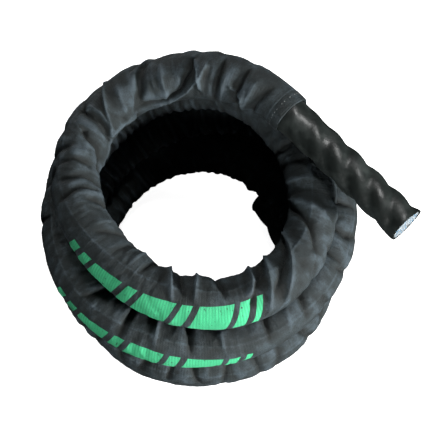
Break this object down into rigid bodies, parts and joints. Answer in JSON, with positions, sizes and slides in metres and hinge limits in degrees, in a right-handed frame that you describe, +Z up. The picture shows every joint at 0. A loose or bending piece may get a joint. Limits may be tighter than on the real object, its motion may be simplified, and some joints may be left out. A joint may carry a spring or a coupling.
{
  "type": "battle rope",
  "caption": "Heavy three-strand training rope in a wrinkled fabric sleeve, coiled for storage, with a glossy heat-shrink grip boot on each end.",
  "frame": {"origin": "under the middle of the part's box, on the surface it lies on", "axes": "+Z up along the coil's axis, +X to the picture's right, towards the side that the near boot points to, +Y towards the back"},
  "size_m": [0.4084, 0.3542, 0.2356],
  "materials": {
    "sleeve_cloth": "woven, dull with a slight sheen",
    "hem_binding": "stitched cloth",
    "boot_film": "glossy heat-shrink film",
    "rope_fibre": "white polyester yarn with blue marker yarns, cut flush"
  },
  "bodies": {
    "root": {"rope_strand_a": "rope_fibre", "rope_strand_b": "rope_fibre", "rope_strand_c": "rope_fibre", "near_boot": "boot_film", "far_boot": "boot_film", "near_sleeve_hem": "hem_binding", "far_sleeve_hem": "hem_binding", "fabric_sleeve": "sleeve_cloth"}
  },
  "joints": []
}
